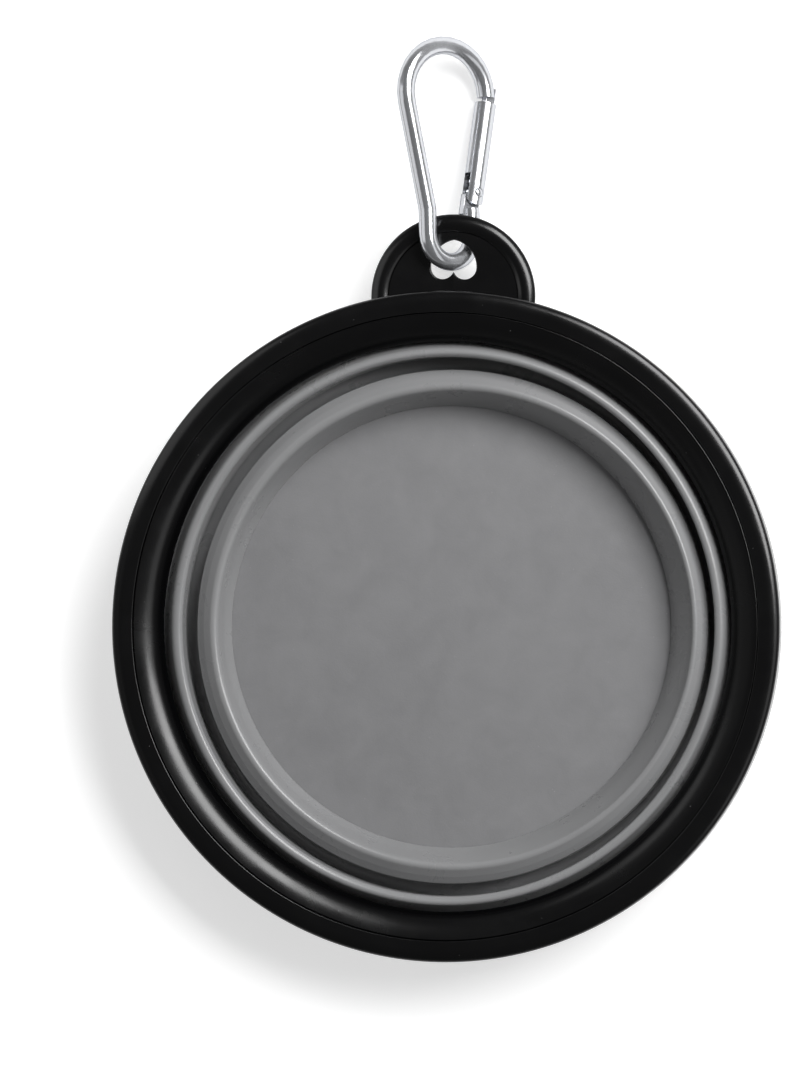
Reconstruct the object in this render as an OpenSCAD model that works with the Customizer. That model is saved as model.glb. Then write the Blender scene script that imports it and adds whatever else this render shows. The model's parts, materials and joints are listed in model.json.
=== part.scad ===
// Collapsible silicone travel bowl, folded flat, with a hanging tab and a snap hook.
// The origin is on the floor under the middle of the base. +Y runs to the tab, +Z is up.

/* [Rim] */
// Diameter over the rim
rim_d = 130; // [110:1:160]
// Height of the folded bowl, floor to rim top
folded_h = 15; // [13.5:0.5:18]
// Height of the outer rim ring
frame_h = 6.5; // [6:0.25:8]
// Width of the outer rim ring on top, edge to seam
frame_w = 4.1; // [3.4:0.1:6]
// Width of the inner rim ring, seam to inner edge
liner_w = 5.6; // [5.2:0.1:7]
// How far the inner ring's skirt reaches below the rim top
skirt_depth = 5.8; // [5.4:0.1:6.6]
// Thickness of the inner ring's skirt
skirt_t = 0.8; // [0.6:0.1:1]
// Thickness of the ledge that carries the silicone flange
ledge_t = 1.5; // [1:0.1:2]
// Width of the outer rim ring's crowned outer part
crown_w = 1.8; // [1.2:0.1:2.2]
// Drop of that crown at the rim's edge
crown_h = 0.9; // [0.5:0.1:1.4]
// Radius of the rim's lower outer edge
rim_edge_r = 0.7; // [0.3:0.1:1.2]
// Width of each side of the seam groove
seam_w = 0.3; // [0.15:0.05:0.5]

/* [Tab] */
// Radius of the tab
tab_r = 16; // [14:0.5:20]
// Distance from the middle of the bowl to the middle of the tab's curve, less the rim radius
tab_set = -1; // [-2:0.25:2]
// Thickness of the tab's flat panel
tab_t = 1.6; // [1.2:0.1:1.8]
// Height of the tab's underside above the rim's underside
tab_rise = 0.45; // [0.2:0.05:1]
// Width of the raised border along the tab's edge
bead_w = 3.3; // [2:0.1:4]
// Height of the raised border above the panel
bead_h = 0.45; // [0.2:0.05:0.5]
// Width of the heart-shaped hole
heart_w = 8.9; // [8.5:0.1:10]
// Height of the heart-shaped hole, lobes to point
heart_h = 7.6; // [7.2:0.1:9]
// Radius of the two lobes of the heart
lobe_r = 2.3; // [2.25:0.05:2.4]
// Width of the bridge between the heart's point and the tab's edge
bridge_w = 5; // [4:0.1:5.4]

/* [Silicone wall] */
// Thickness of the flange held in the rim
flange_t = 1.6; // [1.2:0.1:1.8]
// Thickness of the outer band
outer_band_t = 1.5; // [1.1:0.1:1.7]
// Thickness of the two thin folding walls
fold_t = 1; // [0.7:0.05:1.1]
// Thickness of the middle and inner bands at their tops
band_top_t = 0.9; // [0.7:0.05:1]
// Thickness of the middle and inner bands at their bottoms
band_low_t = 1.2; // [0.9:0.05:1.3]
// Radius of the bends at the bottom of the folds, to the middle of the wall
valley_bend = 0.85; // [0.8:0.05:1.1]
// Radius of the bends at the top of the folds, to the middle of the wall
crest_bend = 0.5; // [0.45:0.05:0.6]
// How far the first valley lies outside the rim's inner edge
valley1_out = 0.4; // [0:0.1:0.6]
// How far the first crest lies inside the rim's inner edge
crest1_in = 2.55; // [2.2:0.05:3.2]
// How far the second valley lies inside the first crest
valley2_in = 2.65; // [2.4:0.05:3.4]
// How far the second crest lies inside the second valley
crest2_in = 3.2; // [2.6:0.05:4]
// How far the first crest's top lies below the rim top
crest1_drop = 2.9; // [2.4:0.1:4]
// How far the second crest's top lies below the rim top
crest2_drop = 4.8; // [4:0.1:6]
// Height of the folds' lower bends above the floor
fold_lift = 0.85; // [0.5:0.05:1.2]

/* [Base] */
// How far the base plate's edge lies inside the second crest
base_in = 3.8; // [3.2:0.1:5]
// Thickness of the base plate
plate_t = 1.4; // [1:0.1:2]
// Thickness of the silicone foot under the plate
foot_t = 0.8; // [0.5:0.1:1.2]

/* [Snap hook] */
// Overall length of the hook
hook_len = 45.8; // [44:0.2:50]
// Diameter of the hook's rod
rod_d = 3.5; // [3.2:0.05:3.6]
// Radius of the small bend that goes through the tab, to the middle of the rod
small_bend = 5.2; // [5:0.05:5.6]
// Height of the straight neck above the small bend
neck_h = 5; // [4.5:0.1:5.5]
// Angle by which the spine and the gate lean outward
spine_lean = 11.5; // [9:0.25:13]
// Angle by which the lying hook is turned about its own length
hook_roll = 42; // [40:0.5:46]
// Angle by which the lying hook points to the left of the tab
hook_yaw = 3; // [0:0.5:6]
// Sideways place of the hook in the heart
hook_shift = -0.9; // [-1.2:0.1:-0.4]
// How far the middle of the small bend lies beyond the heart's point
hook_out = 0.9; // [0.7:0.05:1.1]

/* [Gate] */
// Diameter of the gate
gate_d = 4.2; // [4:0.1:4.6]
// Distance of the gate's pivot above the middle of the small bend
pivot_h = 8.4; // [8.2:0.1:9]
// Distance from the pivot to the gate's lower end
gate_tail = 2.5; // [2.3:0.1:2.7]
// Gap between the gate's upper end and the rod's end
nose_gap = 1.5; // [1:0.1:2]
// Thickness of the tang and of the nose's tongue
tang_t = 1.5; // [1.2:0.1:1.7]
// Radius of the tang's round end
tang_r = 1.25; // [1.15:0.05:1.3]
// Height of the flat on the tang's end above the pivot
tang_flat = 1.1; // [1.05:0.01:1.15]
// How far the tongue reaches into the gate
tongue_len = 3.4; // [2.5:0.1:4.5]
// Diameter of the rivet's shank
rivet_d = 1.2; // [1:0.05:1.3]
// Diameter of the rivet's heads
rivet_head_d = 1.8; // [1.6:0.05:2]
// Height of the rivet's heads
rivet_head_h = 0.45; // [0.3:0.05:0.6]
// Diameter of the bore for the spring
spring_bore_d = 2.6; // [2.4:0.05:2.7]
// Wall between the spring's bore and the tongue's slot
bore_wall = 2.45; // [1.5:0.05:4]
// Diameter over the spring's coils
spring_d = 2.1; // [1.9:0.05:2.2]
// Diameter of the spring's wire
wire_d = 0.35; // [0.3:0.01:0.4]
// Distance between the spring's turns
spring_pitch = 0.93; // [0.8:0.01:1.2]
// Length of the plunger's head
plunger_len = 1.2; // [1:0.05:1.4]

/* [Hidden] */
$fn = 96;

// Running and seating clearances
seat_gap = 0.1;
pin_gap = 0.05;
press_gap = 0.02;
side_gap = 0.2;
floor_gap = 0.05;
// Overrun of every cut past the face it opens
cut = 1;
// How far a joint of the rod stands proud of the rod
joint_share = 0.01;
// Number of steps in a drawn arc
arc_steps = 10;
coil_rings = 8;
coil_sides = 6;

// Rim levels and radii
rim_r = rim_d / 2;
frame_low_z = folded_h - frame_h;
ledge_z = frame_low_z + ledge_t;
flange_top_z = ledge_z + flange_t;
frame_in_r = rim_r - frame_w;
liner_out_r = frame_in_r - seat_gap;
liner_in_r = frame_in_r - liner_w;
skirt_z = folded_h - skirt_depth;
skirt_out_r = liner_in_r + skirt_t;
liner_top_z = folded_h - seam_w;
skirt_round_z = skirt_z + skirt_t;
dome_r = liner_out_r - seam_w;
outer_in_r = skirt_out_r + seat_gap;
ledge_in_r = outer_in_r + outer_band_t + seat_gap;
flange_out_r = frame_in_r - 2 * seat_gap;

// Middles of the bends of the folded wall, as radius and height
valley_z = fold_lift + fold_t / 2 + valley_bend;
valley1 = [liner_in_r + valley1_out, valley_z];
crest1 = [liner_in_r - crest1_in, folded_h - crest1_drop - fold_t / 2 - crest_bend];
valley2 = [crest1[0] - valley2_in, valley_z];
crest2 = [valley2[0] - crest2_in, folded_h - crest2_drop - fold_t / 2 - crest_bend];
base_r = crest2[0] - base_in;
plate_top_z = foot_t + plate_t;

// How far each fold lets its ring rise: a folded wall turns over once
upper_travel = 2 * (crest1[1] - valley1[1]);
lower_travel = 2 * (crest2[1] - valley2[1]);

// Tab levels and places
tab_y = rim_r + tab_set;
tab_z = frame_low_z + tab_rise;
panel_z = tab_z + tab_t;
heart_point_y = tab_y + tab_r - bridge_w;
lobe_x = heart_w / 2 - lobe_r;
lobe_y = heart_point_y - heart_h + lobe_r;
// Each long side of the heart is an arc from the point to the side of the lobe
heart_rise = heart_point_y - lobe_y;
side_x = (heart_rise * heart_rise - heart_w * heart_w / 4) / heart_w;
side_r = heart_w / 2 + side_x;

// Outline of the hook in its own plane: x to the gate, y to the big end, middle of the small bend at zero
rod_r = rod_d / 2;
big_top_y = hook_len - rod_d - small_bend;
big_bend = ((big_top_y - neck_h) * sin(spine_lean) + small_bend * cos(spine_lean)) / (1 + sin(spine_lean));
big_y = big_top_y - big_bend;
kink = [-small_bend, neck_h];
spine_end = [-big_bend * cos(spine_lean), big_y - big_bend * sin(spine_lean)];
pivot_x = -spine_end[0] - (spine_end[1] - pivot_h) * tan(spine_lean);
shoulder_y = pivot_h - gate_tail - side_gap * 2;

// Gate, in its own frame: x outward, y up its length, pivot at zero
gate_r = gate_d / 2;
gate_top = (big_y - pivot_h) / cos(spine_lean) - nose_gap;
bore_r = spring_bore_d / 2;
tang_slot = tang_t + 2 * side_gap;
tang_in = gate_r + side_gap;
spot_z = sqrt(gate_r * gate_r - pow(rivet_head_d / 2 + pin_gap, 2)) - pin_gap;
plunger_low = tang_r + pin_gap;
plunger_top = plunger_low + plunger_len;
plunger_room = tang_r - tang_flat + 2 * seat_gap;
tongue_floor = gate_top - tongue_len - 2 * side_gap;
bore_top = tongue_floor - bore_wall;
spring_low = plunger_top + plunger_room;
spring_len = bore_top - seat_gap - spring_low;
spring_turns = floor((spring_len - wire_d) / spring_pitch);
window_top = plunger_top + plunger_len;
tongue_in = gate_r / 4;
tongue_out = gate_r * 3 / 4;
coil_r = (spring_d - wire_d) / 2;

// Pose of the lying hook: the small bend sits in the heart, the gate's upper end comes down to the floor
hook_y = heart_point_y + hook_out;
hook_z = tab_z + tab_t / 2 + bead_h / 4;
low_x = pivot_x + gate_top * sin(spine_lean);
low_y = pivot_h + gate_top * cos(spine_lean);
low_side = low_x * sin(hook_roll);
low_drop = hook_z - gate_r - floor_gap;
hook_pitch = atan2(low_y, low_side) - acos(low_drop / norm([low_side, low_y]));

echo(upper_travel = upper_travel, lower_travel = lower_travel, hook_pitch = hook_pitch);
echo(heart_point_y = heart_point_y, tab_z = tab_z, hook_at = [hook_shift, hook_y, hook_z]);
echo(pivot = [pivot_x, pivot_h], gate_top = gate_top, big_bend = big_bend, big_y = big_y);

// Points of an arc about c from angle a to angle b
function arc(c, r, a, b) =
    [for (i = [0:arc_steps]) let (t = a + (b - a) * i / arc_steps) c + r * [cos(t), sin(t)]];

// Points of an elliptic arc about c with half axes rx and ry
function oval(c, rx, ry, a, b) =
    [for (i = [0:arc_steps]) let (t = a + (b - a) * i / arc_steps) c + [rx * cos(t), ry * sin(t)]];

// Middle line of one fold: down the outer wall, round the valley, up and over the crest
function fold_path(valley, crest) =
    let (
        d = crest - valley,
        lean = atan2(-d[0], d[1]) - asin((valley_bend + crest_bend) / norm(d))
    )
    concat(arc(valley, valley_bend, 0, lean - 180), arc(crest, crest_bend, lean, 180));

// Outline of a wall about its middle line; both ends are cut level
function wall(path, halves) =
    let (
        last = len(path) - 1,
        sides = [for (i = [0:last])
            let (t = path[min(i + 1, last)] - path[max(i - 1, 0)])
            i == 0 ? [-1, 0] : i == last ? [1, 0] : [t[1], -t[0]] / norm(t)]
    )
    concat(
        [for (i = [0:last]) path[i] + halves[i] * sides[i]],
        [for (i = [last:-1:0]) path[i] - halves[i] * sides[i]]
    );

// Half thickness along a fold: from the wall above, through the thin wall, to the wall below
function fold_halves(first_t, last_t) =
    concat(
        [for (i = [0:arc_steps]) (first_t + (fold_t - first_t) * i / arc_steps) / 2],
        [for (i = [0:arc_steps]) (fold_t + (last_t - fold_t) * i / arc_steps) / 2]
    );

// A ring turned about the bowl's axis
module ring(points) {
    rotate_extrude() polygon(points);
}

// The heart-shaped hole, point away from the bowl
module heart() {
    for (side = [-1, 1]) translate([side * lobe_x, lobe_y]) circle(lobe_r);
    intersection() {
        translate([-side_x, lobe_y]) circle(side_r);
        translate([side_x, lobe_y]) circle(side_r);
        translate([-heart_w, lobe_y]) square([2 * heart_w, heart_h]);
    }
}

// Tab with its raised border, to be joined to the rim ring
module tab() {
    bead_mid = tab_r - bead_w / 2;
    difference() {
        union() {
            translate([0, tab_y, tab_z]) cylinder(r = bead_mid, h = tab_t);
            translate([0, tab_y, 0]) ring(concat(
                [[bead_mid - bead_w / 2, tab_z], [tab_r - bead_h, tab_z], [tab_r, tab_z + bead_h]],
                oval([bead_mid, panel_z - bead_h], bead_w / 2, 2 * bead_h, 0, 150),
                [[bead_mid - bead_w / 2, panel_z - bead_h]]
            ));
        }
        translate([0, 0, tab_z - cut]) linear_extrude(tab_t + bead_h + 2 * cut) heart();
        translate([0, 0, tab_z - cut]) cylinder(r = rim_r - frame_w / 2, h = tab_t + bead_h + 2 * cut);
    }
}

// Outer rim ring with the hanging tab
module rim_frame() {
    color([0.04, 0.04, 0.04]) union() {
        ring(concat(
            [[ledge_in_r, frame_low_z]],
            arc([rim_r - rim_edge_r, frame_low_z + rim_edge_r], rim_edge_r, -90, 0),
            oval([rim_r - crown_w, folded_h - crown_h], crown_w, crown_h, 0, 90),
            [[frame_in_r + seam_w, folded_h], [frame_in_r, folded_h - 2 * seam_w]],
            [[frame_in_r, ledge_z], [ledge_in_r, ledge_z]]
        ));
        tab();
    }
}

// Inner rim ring, which clamps the silicone flange onto the ledge
module rim_liner() {
    color([0.05, 0.05, 0.05]) ring(concat(
        [[skirt_out_r, flange_top_z], [liner_out_r, flange_top_z]],
        [[liner_out_r, folded_h - 2 * seam_w]],
        oval([dome_r, skirt_round_z], dome_r - liner_in_r, liner_top_z - skirt_round_z, 90, 180),
        arc([skirt_out_r, skirt_round_z], skirt_t, 180, 270)
    ));
}

// Silicone flange and the outer band that hangs from it
module outer_band() {
    low_mid = valley1[0] + valley_bend;
    color([0.42, 0.42, 0.42]) ring([
        [outer_in_r, flange_top_z], [flange_out_r, flange_top_z], [flange_out_r, ledge_z],
        [outer_in_r + outer_band_t, ledge_z], [low_mid + outer_band_t / 2, valley1[1]],
        [low_mid - outer_band_t / 2, valley1[1]], [outer_in_r, skirt_z]
    ]);
}

// Thin wall that turns over between the outer and the middle band
module upper_fold() {
    color([0.45, 0.45, 0.45]) ring(wall(fold_path(valley1, crest1), fold_halves(outer_band_t, band_top_t)));
}

// Stiff band between the two folds
module middle_band() {
    top_mid = crest1[0] - crest_bend;
    low_mid = valley2[0] + valley_bend;
    color([0.4, 0.4, 0.4]) ring([
        [top_mid - band_top_t / 2, crest1[1]], [low_mid - band_low_t / 2, valley2[1]],
        [low_mid + band_low_t / 2, valley2[1]], [top_mid + band_top_t / 2, crest1[1]]
    ]);
}

// Thin wall that turns over between the middle band and the inner band
module lower_fold() {
    color([0.45, 0.45, 0.45]) ring(wall(fold_path(valley2, crest2), fold_halves(band_low_t, band_top_t)));
}

// Inner band that rises from the base, with the soft foot under the plate
module base_band() {
    top_mid = crest2[0] - crest_bend;
    plate_fit_r = base_r + seat_gap;
    color([0.47, 0.47, 0.47]) ring([
        [0, 0], [plate_fit_r + band_low_t, 0], [plate_fit_r + 2 * band_low_t, foot_t],
        [plate_fit_r + 2 * band_low_t, plate_top_z], [top_mid + band_top_t / 2, crest2[1]],
        [top_mid - band_top_t / 2, crest2[1]], [plate_fit_r, plate_top_z],
        [plate_fit_r, foot_t], [0, foot_t]
    ]);
}

// Stiff disc that makes the floor of the bowl
module base_plate() {
    color([0.5, 0.5, 0.5]) translate([0, 0, foot_t]) cylinder(r = base_r, h = plate_t);
}

// Puts the hook's own plane where the hook lies, through the heart and down to the floor
module lay_hook() {
    translate([hook_shift, hook_y, hook_z]) rotate([-hook_pitch, 0, hook_yaw]) rotate([0, hook_roll, 0])
        children();
}

// Puts the gate's own frame on its pivot
module at_pivot() {
    lay_hook() translate([pivot_x, pivot_h, 0]) rotate([0, 0, -spine_lean]) children();
}

// A bent stretch of the rod
module rod_bend(c, r, a, b) {
    translate(c) rotate([0, 0, a]) rotate_extrude(angle = b - a) translate([r, 0]) circle(rod_r);
}

// A straight stretch of the rod
module rod_line(p, q) {
    d = q - p;
    translate(p) rotate([0, 0, atan2(d[1], d[0])]) rotate([0, 90, 0]) cylinder(r = rod_r, h = norm(d));
}

// A joint between two stretches of the rod, a hair proud so that they fuse
module rod_joint(p) {
    translate(p) sphere(rod_r + rod_r * joint_share);
}

// Flat tang with a round end about the pivot, in the gate's frame
module tang() {
    tail = pivot_h - shoulder_y + rod_r;
    translate([0, 0, -tang_t / 2]) linear_extrude(tang_t) difference() {
        union() {
            circle(tang_r);
            translate([-tang_in, -tail]) square([tang_in + tang_r, tail - tang_r / 2]);
            translate([-tang_r, -tail]) square([2 * tang_r, tail]);
        }
        translate([-gate_d, tang_flat]) square([2 * gate_d, gate_d]);
    }
}

// Bent rod with the tang that carries the gate and the tongue that stops it
module carabiner_body() {
    color([0.8, 0.81, 0.83]) difference() {
        union() {
            lay_hook() {
                rod_bend([0, 0], small_bend, 180, 360);
                rod_line([-small_bend, 0], kink);
                rod_line(kink, spine_end);
                rod_bend([0, big_y], big_bend, 0, 180 + spine_lean);
                rod_line([small_bend, 0], [small_bend, shoulder_y]);
                for (p = [[-small_bend, 0], kink, spine_end, [small_bend, 0]]) rod_joint(p);
            }
            at_pivot() {
                tang();
                translate([-tongue_in, gate_top - tongue_len, -tang_t / 2])
                    cube([tongue_in + tongue_out, tongue_len + nose_gap + rod_r, tang_t]);
            }
        }
        at_pivot() cylinder(r = rivet_d / 2 + pin_gap, h = gate_d, center = true);
    }
}

// Tubular gate: slotted for the tang below and the tongue above, bored for the spring
module carabiner_gate() {
    color([0.82, 0.83, 0.85]) at_pivot() difference() {
        union() {
            intersection() {
                rotate([90, 0, 0]) cylinder(r = gate_r, h = 2 * gate_tail, center = true);
                cylinder(r = gate_tail, h = gate_d, center = true);
            }
            rotate([-90, 0, 0]) cylinder(r = gate_r, h = gate_top);
        }
        translate([-gate_d, -gate_d, -tang_slot / 2])
            cube([gate_d + tang_r + side_gap, gate_d + window_top, tang_slot]);
        translate([-tongue_in - side_gap, tongue_floor, -tang_slot / 2])
            cube([gate_d, tongue_len + gate_d, tang_slot]);
        translate([0, plunger_low - seat_gap, 0]) rotate([-90, 0, 0])
            cylinder(r = bore_r, h = bore_top - plunger_low + seat_gap);
        cylinder(r = rivet_d / 2 + press_gap, h = 2 * gate_d, center = true);
        for (side = [-1, 1]) translate([0, 0, side * (spot_z + gate_d / 2)])
            cylinder(r = rivet_head_d / 2 + pin_gap, h = gate_d, center = true);
    }
}

// Rivet with a domed head on each side of the gate
module gate_rivet() {
    head_r = rivet_head_d / 2;
    color([0.86, 0.87, 0.88]) at_pivot() union() {
        cylinder(r = rivet_d / 2, h = 2 * spot_z, center = true);
        for (side = [0, 180]) rotate([side, 0, 0]) translate([0, 0, spot_z]) ring(concat(
            [[0, 0], [head_r, 0]],
            oval([0, 0], head_r, rivet_head_h, 10, 90)
        ));
    }
}

// One point on the middle of the spring's wire, by ring number
function coil_mid(i) =
    let (
        t = i / coil_rings,
        room = spring_len - wire_d
    )
    [coil_r * cos(360 * t), spring_low + wire_d / 2 + room * t / spring_turns, coil_r * sin(360 * t)];

// Six points round the wire at one ring
function coil_ring(i) =
    let (
        t = 360 * i / coil_rings,
        out = [cos(t), 0, sin(t)]
    )
    [for (k = [0:coil_sides - 1])
        let (a = 360 * k / coil_sides)
        coil_mid(i) + wire_d / 2 * (cos(a) * out + sin(a) * [0, 1, 0])];

// Coil spring in the gate's bore
module gate_spring() {
    last = coil_rings * spring_turns;
    points = [for (i = [0:last]) each coil_ring(i)];
    function at(i, k) = i * coil_sides + k % coil_sides;
    sides = [for (i = [0:last - 1], k = [0:coil_sides - 1])
        each [[at(i, k), at(i, k + 1), at(i + 1, k + 1)], [at(i, k), at(i + 1, k + 1), at(i + 1, k)]]];
    caps = [for (k = [1:coil_sides - 2])
        each [[at(0, 0), at(0, k + 1), at(0, k)], [at(last, 0), at(last, k), at(last, k + 1)]]];
    gaps = [for (i = [0:last - coil_rings]) norm(coil_mid(i + coil_rings) - coil_mid(i)) - wire_d];
    echo(spring_least_gap = min(gaps));
    color([0.6, 0.6, 0.62]) at_pivot() polyhedron(points, concat(sides, caps));
}

// Plunger that the spring presses against the tang's end
module gate_plunger() {
    plunger_r = bore_r - seat_gap;
    tip_r = plunger_r / 2;
    color([0.75, 0.75, 0.77]) at_pivot() translate([0, plunger_low, 0]) rotate([-90, 0, 0]) ring([
        [0, 0], [tip_r, 0], [plunger_r, plunger_len / 2], [plunger_r, plunger_len], [0, plunger_len]
    ]);
}

rim_frame();
rim_liner();
outer_band();
upper_fold();
middle_band();
lower_fold();
base_band();
base_plate();
carabiner_body();
carabiner_gate();
gate_rivet();
gate_spring();
gate_plunger();
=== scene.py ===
import json
import math

import bmesh
import bpy
import numpy as np
from bpy.props import FloatProperty, FloatVectorProperty, PointerProperty
from bpy.types import Operator, Panel, PropertyGroup
from mathutils import Matrix, Vector


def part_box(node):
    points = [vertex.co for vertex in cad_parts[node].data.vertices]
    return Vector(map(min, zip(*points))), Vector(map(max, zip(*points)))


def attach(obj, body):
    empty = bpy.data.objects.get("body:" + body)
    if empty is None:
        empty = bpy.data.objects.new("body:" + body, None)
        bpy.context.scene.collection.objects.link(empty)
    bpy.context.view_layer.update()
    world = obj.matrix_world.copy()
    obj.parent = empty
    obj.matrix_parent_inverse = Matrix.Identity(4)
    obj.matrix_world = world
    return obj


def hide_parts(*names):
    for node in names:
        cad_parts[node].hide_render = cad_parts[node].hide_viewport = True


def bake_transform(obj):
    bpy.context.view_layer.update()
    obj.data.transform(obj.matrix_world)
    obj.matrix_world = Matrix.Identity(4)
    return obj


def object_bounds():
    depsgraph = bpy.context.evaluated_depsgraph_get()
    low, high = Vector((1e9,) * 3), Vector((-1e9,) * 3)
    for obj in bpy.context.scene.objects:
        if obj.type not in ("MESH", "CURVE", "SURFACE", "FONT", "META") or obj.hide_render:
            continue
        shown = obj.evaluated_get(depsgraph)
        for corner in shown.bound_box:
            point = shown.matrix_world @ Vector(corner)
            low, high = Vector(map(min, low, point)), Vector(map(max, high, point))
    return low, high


bl_info = {
    "name": "Collapsible bowl",
    "version": (1, 0, 0),
    "blender": (4, 5, 0),
    "location": "View3D > Sidebar > Bowl",
    "description": "Dresses the packed collapsible bowl: rim, tab, folded wall, base disc and snap hook",
    "category": "Object",
}

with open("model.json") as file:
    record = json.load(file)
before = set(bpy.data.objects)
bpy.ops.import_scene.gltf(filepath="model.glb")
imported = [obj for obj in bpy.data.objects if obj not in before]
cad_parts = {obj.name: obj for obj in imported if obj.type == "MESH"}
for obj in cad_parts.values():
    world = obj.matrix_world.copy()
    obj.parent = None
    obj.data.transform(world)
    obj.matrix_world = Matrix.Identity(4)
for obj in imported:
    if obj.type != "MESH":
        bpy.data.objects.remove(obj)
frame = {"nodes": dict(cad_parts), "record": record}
CAD_LOW, CAD_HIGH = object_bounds()
RIM_LOW, RIM_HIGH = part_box("rim_frame")
LINER_LOW, LINER_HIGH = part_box("rim_liner")
BAND_LOW, BAND_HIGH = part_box("outer_band")
PLATE_LOW, PLATE_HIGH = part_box("base_plate")
JOINTS = {joint["name"]: joint for joint in frame["record"]["behaviour"]["joints"]}

MM = 0.001
# Steps round the bowl's axis, on a corner, on a small edge, on a bend and on a straight length
TURN_STEPS = 256
CORNER_STEPS = 6
EDGE_STEPS = 12
BEND_STEPS = 16
WALL_STEPS = 6
# Steps on an oval, on the border's outer edge, the rim's crown, the liner's dome and each of the heart's arcs
OVAL_STEPS = 24
BEAD_STEPS = 8
CROWN_STEPS = 40
DOME_STEPS = 60
HEART_STEPS = 80
# Sides of the rod and of the spring's wire, and steps on one turn of the spring
ROD_SIDES = 48
WIRE_SIDES = 12
COIL_STEPS = 32
# Points on the tab's round edge, its hidden arc and the hole's edge, and how many soften that edge
TAB_POINTS = 192
HIDDEN_POINTS = 64
HOLE_POINTS = 720
HOLE_BLUR = 4
# Rows past a bend at which the silicone wall is parted, and its ripples: height, waves round the bowl, phase
CUT_ROWS = 2
RIPPLES = ((1, 3, 0.6), (0.7, 7, 2.1), (0.5, 16, 4))
# Points closer than this are one, and edges steeper than this show a crease
MERGE = 1e-7
SHARP = math.radians(40)
# Scale of the dust's specks, and how much of the dust's colour they show
DUST_SCALE = 2400
DUST_SHOW = 0.2
# The camera's sensor, in its own unit of mm
SENSOR_W = 36


# Properties


def length(metres, label):
    return FloatProperty(name=label, default=metres, unit="LENGTH", subtype="DISTANCE")


def mm(value, label):
    return length(value * MM, label)


def angle(degrees, label):
    return FloatProperty(name=label, default=math.radians(degrees), subtype="ANGLE")


def factor(value, label):
    return FloatProperty(name=label, default=value, min=0, subtype="FACTOR")


def power(watts, label):
    return FloatProperty(name=label, default=watts, min=0, unit="POWER")


def colour(rgb, label):
    return FloatVectorProperty(name=label, default=(*rgb, 1), size=4, min=0, max=1, subtype="COLOR")


class RimSizes(PropertyGroup):
    radius: length(RIM_HIGH.x, "Outside radius of the rim")
    under: length(RIM_LOW.z, "Height of the rim's underside")
    top: length(RIM_HIGH.z, "Height of the rim's top")
    ring_w: mm(4.1, "Width of the outer ring's top, out to the rim's edge")
    crown_w: mm(2.3, "Width of the crowned part of that top")
    crown_h: mm(1.1, "Drop of the crown at the rim's edge")
    ledge_w: mm(3.1, "How far the outer ring reaches in under the silicone")
    ledge_t: mm(1.5, "Thickness of that ledge")
    under_edge: mm(0.7, "Rounding of the rim's lower outer edge")
    edge: mm(0.22, "Rounding of the groove's edges")
    seam_h: mm(0.5, "Depth of the groove between the two rings")
    liner_r: length(LINER_HIGH.x, "Outside radius of the inner ring")
    liner_low: length(LINER_LOW.z, "Height of the inner ring's lowest edge")
    liner_top: length(LINER_HIGH.z, "Height of the inner ring's top")
    liner_w: mm(5.5, "Width of the inner ring seen from above")
    # The inner ring's dull edge is painted shade: its weaker reflections stand in for the shade in the recess
    # beside the silicone.
    painted_shade_in: mm(0.9, "Width of the inner ring's dull edge")
    painted_shade_w: mm(1.6, "Width over which the dull edge takes on the ring's gloss")
    dome_out: mm(1.6, "How far the inner ring's dome would go on past its edge")
    skirt_t: mm(0.8, "Thickness of the inner ring's skirt")
    seat_z: length(BAND_HIGH.z, "Height at which the inner ring clamps the silicone")


class TabSizes(PropertyGroup):
    radius: mm(16, "Radius of the tab's round outline")
    inset: mm(1, "How far the outline's centre lies inside the rim's edge")
    rise: mm(0.45, "How far the tab's underside lies above the rim's")
    thickness: mm(1.6, "Thickness of the tab's panel")
    bead_w: mm(3.3, "Width of the raised border")
    bead_h: mm(0.45, "Height of the raised border over the panel")
    bead_in: mm(1.35, "Width of the border's inner slope")
    bead_round: mm(2.6, "Rounding of the border's outer slope")
    line_w: mm(0.19, "Width of the fine groove inside the border")
    hidden: factor(0.9, "Share of the outer ring's width that the tab reaches into")
    edge: mm(0.3, "Rounding of the hole's edges")
    bridge: mm(5, "Least width between the hole and the tab's outline")
    heart_w: mm(8.9, "Width of the heart-shaped hole")
    heart_rise: mm(5.3, "Height of the hole's point above its widest line")
    lobe_r: mm(2.3, "Radius of the heart's two lobes")
    heart_mid: factor(0.15, "Where on that rise the middle of the hole lies")


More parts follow.
